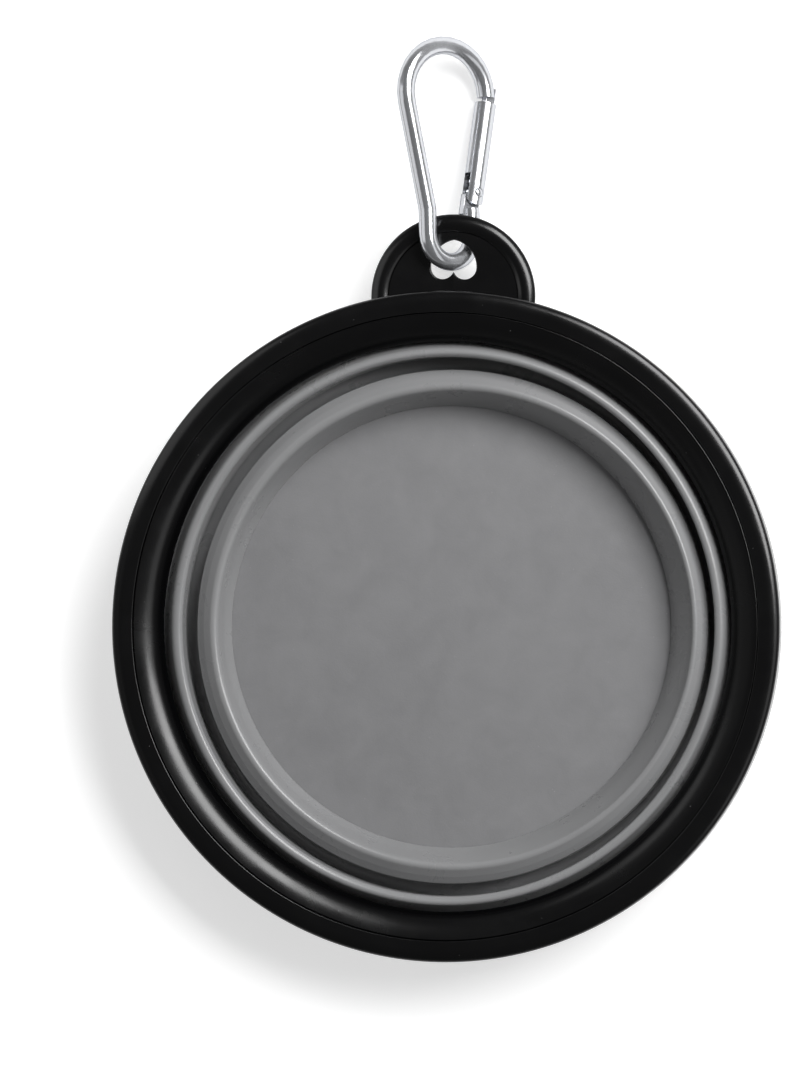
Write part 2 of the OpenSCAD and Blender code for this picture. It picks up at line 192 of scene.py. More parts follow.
class WallSizes(PropertyGroup):
    band_r: mm(56.2, "Inside radius of the outer band at its top")
    band_t: mm(1.5, "Thickness of the outer band")
    band_top: mm(9.6, "Height at which the outer band leaves its flange")
    flange_r: length(BAND_HIGH.x, "Outside radius of the flange held in the rim")
    flange_t: mm(1.6, "Thickness of the flange")
    flange_rise: mm(2, "Height of the flange's top over the band's")
    valley_z: length(BAND_LOW.z, "Height of the outer valley's bend centre, on the under face")
    valley_1: mm(55.7, "Radius of the outer valley's bend centre")
    valley_1_in: mm(0.3, "Bend radius of the wall's upper face there")
    valley_1_out: mm(1.4, "Bend radius of the wall's under face there")
    valley_1_top: mm(7.0, "Height of the bend centre on the upper face")
    valley_2: mm(50.98, "Radius of the inner valley's bend centre")
    valley_2_in: mm(1.12, "Bend radius of the wall's upper face there")
    valley_2_out: mm(2.0, "Bend radius of the wall's under face there")
    valley_2_top: mm(3.0, "Height of the bend centre on the upper face")
    crest_1: mm(53.05, "Radius of the outer crest's bend centre")
    crest_1_z: mm(11.1, "Height of the outer crest's bend centre")
    crest_2: mm(46.9, "Radius of the inner crest's bend centre")
    crest_2_z: mm(9.2, "Height of the inner crest's bend centre")
    crest_out: mm(1.0, "Bend radius of the wall's upper face on a crest")
    crest_in: mm(0.05, "Bend radius of the wall's under face on a crest")
    slope_r: mm(48.0, "Radius of the bulge in the inner ring's shallow outer slope")
    slope_z: mm(8.46, "Height of that bulge's centre")
    step_r: mm(49.6, "Radius at which that slope ends")
    step_z: mm(8.1, "Height at which it ends")
    step_bend: mm(0.25, "Rounding of that edge")
    lip: mm(0.14, "Rounding of the wall's edge over the base disc")
    lip_z: mm(2.5, "Height of that edge")
    lip_over: mm(0.12, "How far the lip reaches over the base disc")
    lip_dip: mm(0.05, "How far its foot lies below the base disc's top")
    foot_r: mm(45.6, "Outside radius of the base's wall at its foot")
    sole_t: length(PLATE_LOW.z, "Thickness of the silicone under the base disc")
    sole_edge: mm(1.2, "Width of the slope at the sole's edge")
    seat_gap: mm(0.03, "Clearance between the base disc and the silicone round it")
    ripple: mm(0.05, "Unevenness of the soft crests")
    oval: mm(0.3, "How much longer than wide the outer crest lies, on each side")
    near: mm(1, "How close to a crest its sideways set is reached")
    set_1: mm(0.2, "How far the outer crest lies off to the right")
    tilt: mm(0.45, "How much higher the outer crest lies at the upper left")
    oval_2: mm(0.22, "How much wider than long the inner crest lies, on each side")
    set_2: mm(1.35, "How far the inner crest lies off to the right")
    set_step: mm(0.85, "How far the edge outside it lies off to the right")


class BaseSizes(PropertyGroup):
    radius: length(PLATE_HIGH.x, "Radius of the base disc")
    low: length(PLATE_LOW.z, "Height of the base disc's underside")
    top: length(PLATE_HIGH.z, "Height of the base disc's top")
    edge: mm(0.15, "Rounding of the base disc's edge")


class HookSizes(PropertyGroup):
    rod_d: mm(3.5, "Diameter of the rod")
    hook_len: mm(45.8, "Length of the hook over all")
    small_bend: mm(5.2, "Bend radius of the end that sits in the tab")
    neck_h: mm(5, "Height of the kink above the small bend's centre")
    lean: angle(11.5, "Lean of the spine and of the gate")
    pivot_h: mm(8.4, "Height of the gate's pivot above the small bend's centre")
    gate_d: mm(4.2, "Diameter of the gate")
    gate_tail: mm(2.5, "Length of the gate's round end past its pivot")
    nose_gap: mm(1.5, "Gap between the rod's end and the gate's end")
    tang_t: mm(1.5, "Thickness of the tang and of the nose's tongue")
    tang_r: mm(1.25, "Radius of the tang's round end")
    tang_flat: mm(1.1, "Height of the flat on the tang's end")
    tongue_len: mm(3.4, "How far the tongue reaches into the gate")
    side_gap: mm(0.2, "Clearance of the gate on the tang and the tongue")
    edge: mm(0.18, "Rounding of the metal's edges")
    coil_d: mm(2.1, "Outside diameter of the gate's spring")
    coil_wire: mm(0.35, "Diameter of the spring's wire")
    coil_low: mm(2.85, "Height of the spring's foot above the pivot")
    coil_len: mm(8.8, "Length of the spring")
    coil_pitch: mm(0.93, "Rise of one turn of the spring")


class Finish(PropertyGroup):
    rim: colour((0.0018, 0.0018, 0.002), "Black of the outer ring and the tab")
    liner: colour((0.0015, 0.0015, 0.0017), "Black of the inner ring")
    silicone: colour((0.246, 0.247, 0.251), "Grey of the silicone")
    silicone_deep: colour((0.228, 0.229, 0.233), "Darker grey in the silicone")
    base_light: colour((0.218, 0.218, 0.223), "Lighter grey of the cloudy base disc")
    base_dark: colour((0.197, 0.197, 0.202), "Darker grey of the cloudy base disc")
    dust: colour((0.62, 0.62, 0.62), "Fine dust on the soft pieces")
    metal: colour((0.58, 0.59, 0.615), "Polished metal of the hook")
    metal_dark: colour((0.5, 0.5, 0.52), "Darker metal in its unevenness")
    metal_edge: colour((0.5, 0.51, 0.54), "Tint of metal seen at a flat angle")
    steel: colour((0.6, 0.6, 0.62), "Drawn steel of the spring and its plunger")
    floor: colour((0.7, 0.7, 0.7), "Grey of the floor under its own light")
    rim_rough: factor(0.22, "Roughness of the outer ring")
    liner_rough: factor(0.24, "Roughness of the inner ring")
    silicone_rough: factor(0.28, "Roughness of the silicone")
    black_shine: factor(0.45, "Strength of the black plastic's reflections")
    # Painted shade: reflections are kept weak at the inner ring's edge, where the recess lies in shade.
    painted_shade_shine: factor(0.08, "Strength of the reflections at the inner ring's dull edge")
    metal_rough: factor(0.18, "Roughness of the polished metal")
    steel_rough: factor(0.28, "Roughness of the drawn steel")


class StageSizes(PropertyGroup):
    camera_h: length(2.0, "Distance of the camera above the rim")
    camera_x: length(0.21, "How far the camera stands to the bowl's right")
    camera_roll: angle(1.1, "Turn of the camera about its line of sight")
    clip: mm(10, "Nearest distance that the camera shows")
    floor_w: length(6.0, "Width of the floor")
    floor_gap: mm(0.05, "How far the floor lies below the bowl")
    glow: factor(0.58, "Light of the floor itself, which keeps its shadows pale")
    sky: factor(0.4, "Brightness of the surroundings near the horizon")
    zenith: factor(0.1, "Brightness of the surroundings overhead")
    zenith_z: factor(0.45, "Height of a line of sight at which that brightness is reached")


def light_sizes(name, what, watts, width, height, far, turn, rise):
    """Settings of one rectangular light."""
    return type(name, (PropertyGroup,), {"__annotations__": {
        "power": power(watts, f"Power of the {what}"),
        "width": length(width, f"Width of the {what}"),
        "height": length(height, f"Height of the {what}"),
        "far": length(far, f"Distance of the {what} from what it lights"),
        "turn": angle(turn, f"Direction of the {what}, counted from +X towards +Y"),
        "rise": angle(rise, f"Angle of the {what} above the floor"),
    }})


KeyLight = light_sizes(
    "KeyLight", "large soft light at the upper right",
    watts=13, width=0.8, height=0.46, far=1.0, turn=43, rise=45,
)
FillLight = light_sizes(
    "FillLight", "weaker light at the left",
    watts=0.35, width=1.2, height=0.9, far=1.1, turn=170, rise=35,
)
CardLight = light_sizes(
    "CardLight", "tall white card at the right",
    watts=0.7, width=0.9, height=0.3, far=0.8, turn=-5, rise=42,
)
HookLight = light_sizes(
    "HookLight", "small white card beside the hook",
    watts=0.024, width=0.1, height=0.09, far=0.13, turn=178, rise=33,
)


# The photo's size and where it shows the rim, its middle and radius, in pixels
PHOTO_SIZE = (812, 1080)
PHOTO_RIM = (444.4, 626.5, 335.8)


# Outlines and meshes


def oval(centre, width, height, first, last, steps=OVAL_STEPS):
    """Points on an upright ellipse, from angle first to last in degrees."""
    turn = np.radians(np.linspace(first, last, steps + 1))
    return [(centre[0] + width * math.cos(t), centre[1] + height * math.sin(t)) for t in turn]


def belt(stops):
    """Smooth line from the first stop to the last, wound round those between them.

    A stop is (across, up, radius, turn); turn is 1 against the clock, -1 with it.
    Returns rows of (across, up, heading), and the numbers of each stop's first and last row.
    """
    headings = []
    for here, there in zip(stops, stops[1:]):
        across, up = there[0] - here[0], there[1] - here[1]
        lean = math.asin((there[3] * there[2] - here[3] * here[2]) / math.hypot(across, up))
        headings.append(math.atan2(up, across) - lean)
    rows, marks = [], []
    for k, (across, up, radius, turn) in enumerate(stops):
        first, last = headings[max(k - 1, 0)], headings[min(k, len(headings) - 1)]
        if radius > 0:
            sweep = turn * ((last - first) * turn % (2 * math.pi))
            head = first + sweep * np.linspace(0, 1, BEND_STEPS + 1)
            bend = np.c_[across + turn * radius * np.sin(head), up - turn * radius * np.cos(head), head]
        else:
            bend = np.array([(across, up, first)])
        if rows:
            start = rows[-1][-1].copy()
            start[2] = bend[0][2]
            share = np.linspace(0, 1, WALL_STEPS + 1)[1:-1, None]
            rows.append(start + (bend[0] - start) * share)
        total = sum(len(part) for part in rows)
        rows.append(bend)
        marks.append((total, total + len(bend) - 1))
    return np.concatenate(rows), marks


def wrap(rows, columns, closed=True):
    """Quads over rows of points. Each row closes on itself; the last row joins the first if closed."""
    faces = []
    for row in range(rows if closed else rows - 1):
        here, there = row * columns, (row + 1) % rows * columns
        for column in range(columns):
            right = (column + 1) % columns
            faces.append((here + column, there + column, there + right, here + right))
    return faces


def lathe(outline):
    """A closed outline of (radius, height), turned about the bowl's axis."""
    ring = np.asarray(outline, float)
    turn = np.linspace(0, 2 * math.pi, TURN_STEPS, endpoint=False)
    height = np.broadcast_to(ring[:, 1], (TURN_STEPS, len(ring)))
    flat = [np.outer(way, ring[:, 0]) for way in (np.cos(turn), np.sin(turn))]
    return np.stack([*flat, height], axis=-1).reshape(-1, 3), wrap(TURN_STEPS, len(ring))


def loft(rings):
    """Closed skin over a round of closed rings of (x, y, z) with the same number of points."""
    return np.concatenate(rings), wrap(len(rings), len(rings[0]))


def capped(rings):
    """Skin over open-ended rings, closed by a flat face at both ends."""
    count = len(rings[0])
    last = (len(rings) - 1) * count
    caps = [tuple(range(count)), tuple(range(last + count - 1, last - 1, -1))]
    return np.concatenate(rings), wrap(len(rings), count, closed=False) + caps


def rod(path, radius, edge):
    """Round rod along rows of (across, up, heading, stretch) in the plane, its ends rounded by edge."""
    turn = np.linspace(0, 2 * math.pi, ROD_SIDES, endpoint=False)
    rows = [(*row, radius) for row in path]
    for end, way in ((0, -1), (-1, 1)):
        across, up, heading, stretch = path[end]
        bevel = []
        for t in np.radians(np.linspace(0, 90, CORNER_STEPS + 1))[1:]:
            step = way * edge * math.sin(t)
            spot = (across + step * math.cos(heading), up + step * math.sin(heading))
            bevel.append((*spot, heading, stretch, radius - edge * (1 - math.cos(t))))
        rows = bevel[::-1] + rows if end == 0 else rows + bevel
    rings = []
    for across, up, heading, stretch, thick in rows:
        out = thick * stretch * np.cos(turn)
        spots = across - out * math.sin(heading), up + out * math.cos(heading)
        rings.append(np.c_[(*spots, thick * np.sin(turn))])
    return capped(rings)


def slab(outline, thickness, edge):
    """Flat plate of an outline in the plane, its rims rounded by edge."""
    flat = np.asarray(outline, float)
    ahead, back = np.roll(flat, -1, axis=0) - flat, flat - np.roll(flat, 1, axis=0)
    ahead, back = (way / np.linalg.norm(way, axis=1, keepdims=True) for way in (ahead, back))
    mitre = (ahead + back) / (1 + np.sum(ahead * back, axis=1, keepdims=True))
    inward = np.c_[-mitre[:, 1], mitre[:, 0]]
    rings = []
    for side in (-1, 1):
        for t in np.radians(np.linspace(0, 90, CORNER_STEPS // 2 + 1))[::-side]:
            spots = flat + inward * edge * (1 - math.cos(t))
            height = side * (thickness / 2 - edge * (1 - math.sin(t)))
            rings.append(np.c_[spots, np.full(len(flat), height)])
    return capped(rings)


def join(*shapes):
    """Several shapes as one."""
    points, faces, count = [], [], 0
    for spots, quads in shapes:
        points.append(spots)
        faces += [tuple(corner + count for corner in quad) for quad in quads]
        count += len(spots)
    return np.concatenate(points), faces


def placed(shape, matrix):
    """A shape moved by a matrix."""
    points, faces = shape
    turn = np.array(matrix)
    return points @ turn[:3, :3].T + turn[:3, 3], faces


def new_piece(name, shape, material, nodes):
    """Adds a piece to the scene: smooth shaded, creased at sharp edges, standing for the CAD nodes named."""
    points, faces = shape
    mesh = bpy.data.meshes.new(name)
    mesh.from_pydata(points, [], faces)
    net = bmesh.new()
    net.from_mesh(mesh)
    bmesh.ops.remove_doubles(net, verts=net.verts, dist=MERGE)
    bmesh.ops.dissolve_degenerate(net, dist=MERGE, edges=net.edges)
    on_axis = [edge for edge in net.edges if not edge.link_faces]
    bmesh.ops.delete(net, geom=on_axis, context="EDGES")
    bmesh.ops.recalc_face_normals(net, faces=net.faces)
    loose = sum(1 for edge in net.edges if len(edge.link_faces) != 2)
    net.to_mesh(mesh)
    net.free()
    if loose:
        raise RuntimeError(f"{name}: {loose} edges don't close")
    mesh.shade_smooth()
    mesh.set_sharp_from_angle(angle=SHARP)
    mesh.materials.append(material)
    piece = bpy.data.objects.new(name, mesh)
    bpy.context.scene.collection.objects.link(piece)
    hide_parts(*nodes)
    return piece


# Finishes


def fill(node, values):
    """Sets a node's sockets; an underscore stands for a space in a socket's name."""
    for socket, value in values.items():
        node.inputs[socket.replace("_", " ")].default_value = value


def add(tree, kind, links=(), settings=(), **values):
    """Adds a node: settings are its own options, values its sockets, links (socket, output) pairs."""
    node = tree.nodes.new(kind)
    for option, choice in dict(settings).items():
        setattr(node, option, choice)
    fill(node, values)
    for socket, output in links:
        tree.links.new(output, node.inputs[socket])
    return node


def group(name, sockets, build):
    """A shader node group made once: it takes a place and the numbers in sockets, build adds its nodes."""
    tree = bpy.data.node_groups.get(name)
    if tree is None:
        tree = bpy.data.node_groups.new(name, "ShaderNodeTree")
        tree.interface.new_socket("Vector", in_out="INPUT", socket_type="NodeSocketVector")
        for socket in sockets:
            tree.interface.new_socket(socket, in_out="INPUT", socket_type="NodeSocketFloat")
        tree.interface.new_socket("Value", in_out="OUTPUT", socket_type="NodeSocketFloat")
        given = tree.nodes.new("NodeGroupInput")
        result = tree.nodes.new("NodeGroupOutput")
        tree.links.new(build(tree, given.outputs), result.inputs["Value"])
    return tree


def span(tree, value, low=0, high=1, first=0, last=1, blend="LINEAR"):
    """A value carried over from the span of first to last to the span of low to high."""
    node = add(
        tree, "ShaderNodeMapRange", [("Value", value)], {"interpolation_type": blend},
        From_Min=first, From_Max=last, To_Min=low, To_Max=high,
    )
    return node.outputs["Result"]


def scaled(given):
    """Links that give a texture its group's place and scale."""
    return [(socket, given[socket]) for socket in ("Vector", "Scale")]


def grain(tree, given):
    """Fine, even grain of a moulded surface."""
    return add(tree, "ShaderNodeTexNoise", scaled(given), Detail=3, Roughness=0.6).outputs[0]


def clouds(tree, given):
    """Soft, uneven clouds, stretched to the full span."""
    noise = add(tree, "ShaderNodeTexNoise", scaled(given), Detail=6, Roughness=0.62, Distortion=0.4)
    return span(tree, noise.outputs[0], first=0.32, last=0.68)


def specks(tree, given):
    """Sparse round specks, some larger than others."""
    def compute(operation, first, second):
        return add(tree, "ShaderNodeMath", [(0, first), (1, second)], {"operation": operation}).outputs[0]

    cells = add(tree, "ShaderNodeTexVoronoi", scaled(given))
    parts = add(tree, "ShaderNodeSeparateColor", [("Color", cells.outputs["Color"])])
    size = span(tree, parts.outputs["Green"], low=0.05, high=0.2)
    near = compute("LESS_THAN", cells.outputs["Distance"], size)
    chosen = compute("LESS_THAN", parts.outputs["Red"], given["Share"])
    return compute("MULTIPLY", near, chosen)


class Surface:
    """A Principled material under construction, with the object's own coordinates."""

    def __init__(self, name, **values):
        self.material = bpy.data.materials.new(name)
        self.material.use_nodes = True
        self.tree = self.material.node_tree
        self.shader = self.tree.nodes["Principled BSDF"]
        self.coords = self.tree.nodes.new("ShaderNodeTexCoord").outputs["Object"]
        fill(self.shader, values)

    def texture(self, build, scale, **values):
        """Output of one of the shared groups."""
        tree = group(f"bowl_{build.__name__}", ["Scale", *values], build)
        links, settings = [("Vector", self.coords)], {"node_tree": tree}
        return add(self.tree, "ShaderNodeGroup", links, settings, Scale=scale, **values).outputs["Value"]

    def mix(self, mask, first, second):
        """Two colours mixed by a mask; either may be a colour or another node's output."""
        node = add(self.tree, "ShaderNodeMix", settings={"data_type": "RGBA"})
        for number, value in ((0, mask), (6, first), (7, second)):
            if isinstance(value, bpy.types.NodeSocket):
                self.tree.links.new(value, node.inputs[number])
            else:
                node.inputs[number].default_value = value
        return node.outputs[2]

    def feed(self, **outputs):
        for socket, output in outputs.items():
            self.tree.links.new(output, self.shader.inputs[socket.replace("_", " ")])

    def fade(self, first, last, low, high):
        """A value that goes from low to high between two distances from the bowl's axis."""
        flat = add(self.tree, "ShaderNodeVectorMath", [(0, self.coords)], {"operation": "MULTIPLY"})
        flat.inputs[1].default_value = (1, 1, 0)
        away = add(self.tree, "ShaderNodeVectorMath", [(0, flat.outputs[0])], {"operation": "LENGTH"})
        return span(self.tree, away.outputs["Value"], low, high, first, last, "SMOOTHSTEP")

    def dusty(self, colour, dust, share):
        """A colour under sparse specks of dust."""
        specked = self.texture(specks, DUST_SCALE, Share=share)
        return self.mix(span(self.tree, specked, high=DUST_SHOW), colour, dust)

    def skin(self, rough, gloss_scale, grain_scale, strength, depth):
        """Clouds of roughness between the two of rough, and a fine grain."""
        grains = self.texture(grain, grain_scale)
        bump = add(self.tree, "ShaderNodeBump", [("Height", grains)], Strength=strength, Distance=depth)
        gloss = span(self.tree, self.texture(clouds, gloss_scale), *rough)
        self.feed(Roughness=gloss, Normal=bump.outputs["Normal"])


def black_plastic(name, rgb, rough, finish, share, painted_shade=None):
    """Satin black moulding with a little dust; if painted_shade is given, its reflections are weak inside the
    first of those two radii, a painted shade, and reach full gloss by the second.
    """
    made = Surface(name, Specular_IOR_Level=finish.black_shine)
    if painted_shade:
        # Painted shade: the reflections grow weaker towards the inner ring's edge.
        made.feed(Specular_IOR_Level=made.fade(*painted_shade, finish.painted_shade_shine, finish.black_shine))
    made.feed(Base_Color=made.dusty(rgb, finish.dust, share))
    made.skin((rough - 0.04, rough + 0.05), gloss_scale=90, grain_scale=3200, strength=0.12, depth=0.05 * MM)
    return made.material


def grey_silicone(finish):
    """Soft satin silicone with faint clouds, fine grain and dust."""
    made = Surface("silicone", Specular_IOR_Level=0.5, Sheen_Weight=0.08, Sheen_Roughness=0.4)
    cloudy = made.mix(made.texture(clouds, scale=45), finish.silicone_deep, finish.silicone)
    made.feed(Base_Color=made.dusty(cloudy, finish.dust, share=0.012))
    rough = (finish.silicone_rough - 0.015, finish.silicone_rough + 0.02)
    made.skin(rough, gloss_scale=120, grain_scale=1800, strength=0.06, depth=0.05 * MM)
    return made.material


def cloudy_base(finish):
    """Matte disc with broad clouds, fine grain and dust."""
    made = Surface("base_disc", Specular_IOR_Level=0.35)
    cloudy = made.mix(made.texture(clouds, scale=150), finish.base_dark, finish.base_light)
    made.feed(Base_Color=made.dusty(cloudy, finish.dust, share=0.015))
    made.skin((0.52, 0.66), gloss_scale=150, grain_scale=2600, strength=0.3, depth=0.08 * MM)
    return made.material


def polished_metal(name, rgb, rough, finish):
    """Polished metal with a trace of unevenness."""
    made = Surface(name, Metallic=0.85, Specular_Tint=finish.metal_edge)
    uneven = span(made.tree, made.texture(clouds, scale=260), high=0.12)
    made.feed(Base_Color=made.mix(uneven, rgb, finish.metal_dark))
    made.skin((rough * 0.8, rough * 1.3), gloss_scale=180, grain_scale=1400, strength=0.03, depth=0.02 * MM)
    return made.material


# Operators, one for each piece or group of like pieces


class BOWL_OT_rim(Operator):
    """Turns the outer and the inner ring of the rim"""

    bl_idname = "bowl.rim"
    bl_label = "Rim rings"

    def execute(self, context):
        rim, finish = context.scene.bowl_rim, context.scene.bowl_finish
        seam, edge, low = rim.radius - rim.ring_w, rim.edge, rim.under_edge
        ledge_r, ledge_z = seam - rim.ledge_w, rim.under + rim.ledge_t
        crown = (rim.radius - rim.crown_w, rim.top - rim.crown_h)
        ring = [
            (seam, ledge_z), (ledge_r, ledge_z), (ledge_r, rim.under),
            *oval((rim.radius - low, rim.under + low), low, low, -90, 0),
            *oval(crown, rim.crown_w, rim.crown_h, 0, 90, CROWN_STEPS),
            *oval((seam + edge, rim.top - edge), edge, edge, 90, 180, EDGE_STEPS),
            (seam, rim.top - rim.seam_h),
        ]
        black = black_plastic("rim_black", finish.rim, finish.rim_rough, finish, share=0.004)
        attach(new_piece("rim_ring", lathe(ring), black, ["rim_frame"]), "rim")

        inner = rim.liner_r - rim.liner_w
        skirt, turn_z = inner + rim.skirt_t, rim.liner_low + rim.skirt_t
        dome = rim.liner_r + rim.dome_out
        start = 90 + math.degrees(math.asin((rim.dome_out + edge) / (dome - inner)))
        liner = [
            (skirt, rim.seat_z), (rim.liner_r, rim.seat_z),
            *oval((rim.liner_r - edge, rim.liner_top - edge), edge, edge, 0, 90, EDGE_STEPS),
            *oval((dome, turn_z), dome - inner, rim.liner_top - turn_z, start, 180, DOME_STEPS),
            *oval((skirt, turn_z), rim.skirt_t, rim.skirt_t, 180, 270)[1:],
        ]
        # Painted shade at the inner ring's inner edge: its reflections are weakened there.
        painted_shade = (inner + rim.painted_shade_in, inner + rim.painted_shade_in + rim.painted_shade_w)
        black = black_plastic("liner_black", finish.liner, finish.liner_rough, finish, share=0.006, painted_shade=painted_shade)
        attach(new_piece("liner_ring", lathe(liner), black, ["rim_liner"]), "rim")
        return {"FINISHED"}


class BOWL_OT_tab(Operator):
    """Builds the hanging tab with its raised border and its heart-shaped hole"""

    bl_idname = "bowl.tab"
    bl_label = "Hanging tab"

    def execute(self, context):
        rim, tab, finish = context.scene.bowl_rim, context.scene.bowl_tab, context.scene.bowl_finish
        middle = rim.radius - tab.inset
        hidden = rim.radius - rim.ring_w * tab.hidden
        low = rim.under + tab.rise
        panel = low + tab.thickness

        def outline(inset):
            """The tab's outline, moved inwards: its round edge, and an arc hidden in the ring."""
            radius, inner = tab.radius - inset, hidden + inset
            y = (middle**2 + inner**2 - radius**2) / (2 * middle)
            x = math.sqrt(inner**2 - y**2)
            start = math.atan2(y - middle, x)
            arc = np.linspace(start, math.pi - start, TAB_POINTS)
            under = np.linspace(math.atan2(y, -x), math.atan2(y, x), HIDDEN_POINTS + 2)[1:-1]
            return np.concatenate([
                np.c_[radius * np.cos(arc), middle + radius * np.sin(arc)],
                np.c_[inner * np.cos(under), inner * np.sin(under)],
            ])

        half, rise, lobe = tab.heart_w / 2, tab.heart_rise, tab.lobe_r
        lobe_y = middle + tab.radius - tab.bridge - rise
        side_x = (rise**2 - half**2) / (2 * half)
        cusp = math.degrees(math.acos((half - lobe) / lobe))
        right = oval((half - lobe, lobe_y), lobe, lobe, cusp - 180, 0, HEART_STEPS)
        point = math.degrees(math.atan2(rise, side_x))
        right += oval((-side_x, lobe_y), half + side_x, half + side_x, 0, point, HEART_STEPS)[1:]
        heart = np.array(right + [(-x, y) for x, y in right[-2:0:-1]])
        heart_mid = np.array([0, lobe_y + tab.heart_mid * rise])
        # The hole's edge as its distance from its middle, softened a little along its length
        spread = heart - heart_mid
        bearing = np.arctan2(spread[:, 1], spread[:, 0])
        order = np.argsort(bearing)
        fine = np.linspace(-math.pi, math.pi, HOLE_POINTS, endpoint=False)
        reach = np.interp(fine, bearing[order], np.hypot(*spread.T)[order], period=2 * math.pi)
        soft = np.full(2 * HOLE_BLUR + 1, 1 / (2 * HOLE_BLUR + 1))
        reach = np.convolve(np.concatenate([reach[-HOLE_BLUR:], reach, reach[:HOLE_BLUR]]), soft, "valid")
        outer = outline(0) - heart_mid
        ways = np.arctan2(outer[:, 1], outer[:, 0])

        def hole(grow):
            """The hole's edge, moved outwards, with a point for each point of the tab's outline."""
            far = np.interp(ways, fine, reach, period=2 * math.pi) + grow
            return heart_mid + np.c_[far * np.cos(ways), far * np.sin(ways)]

        def ring(spots, height):
            return np.c_[spots, np.full(len(spots), height)]

        edge, bead = tab.edge, tab.bead_w
        quarter = np.radians(np.linspace(0, 90, CORNER_STEPS + 1))
        turns = [(1 - math.cos(t), 1 - math.sin(t)) for t in quarter]
        rings = [ring(hole(edge * out), panel - edge * down) for out, down in turns]
        rings.append(ring(outline(bead + tab.line_w), panel))
        rings.append(ring(outline(bead + tab.line_w / 2), panel - tab.line_w))
        crest, broad = bead - tab.bead_in, tab.bead_round
        centre_z = panel + tab.bead_h - broad
        end = 180 - math.degrees(math.acos((crest - edge) / (broad - edge)))
        fall = centre_z + math.sqrt((broad - edge) ** 2 - (crest - edge) ** 2)
        inner = (tab.bead_in**2 + tab.bead_h**2) / (2 * tab.bead_h)
        start = 90 - math.degrees(math.asin(tab.bead_in / inner))
        border = [
            *oval((crest, panel + tab.bead_h - inner), inner, inner, start, 90),
            *oval((crest, centre_z), broad, broad, 90, end)[1:],
            *oval((edge, fall), edge, edge, end, 180, BEAD_STEPS)[1:],
        ]
        rings += [ring(outline(inset), height) for inset, height in border]
        rings += [ring(outline(tab.bead_h * out), low + tab.bead_h * down) for out, down in turns]
        rings += [ring(hole(edge * out), low + edge * down) for out, down in turns[::-1]]

        black = black_plastic("tab_black", finish.rim, finish.rim_rough, finish, share=0.004)
        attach(new_piece("hanging_tab", loft(rings), black, ["rim_frame"]), "rim")
        return {"FINISHED"}


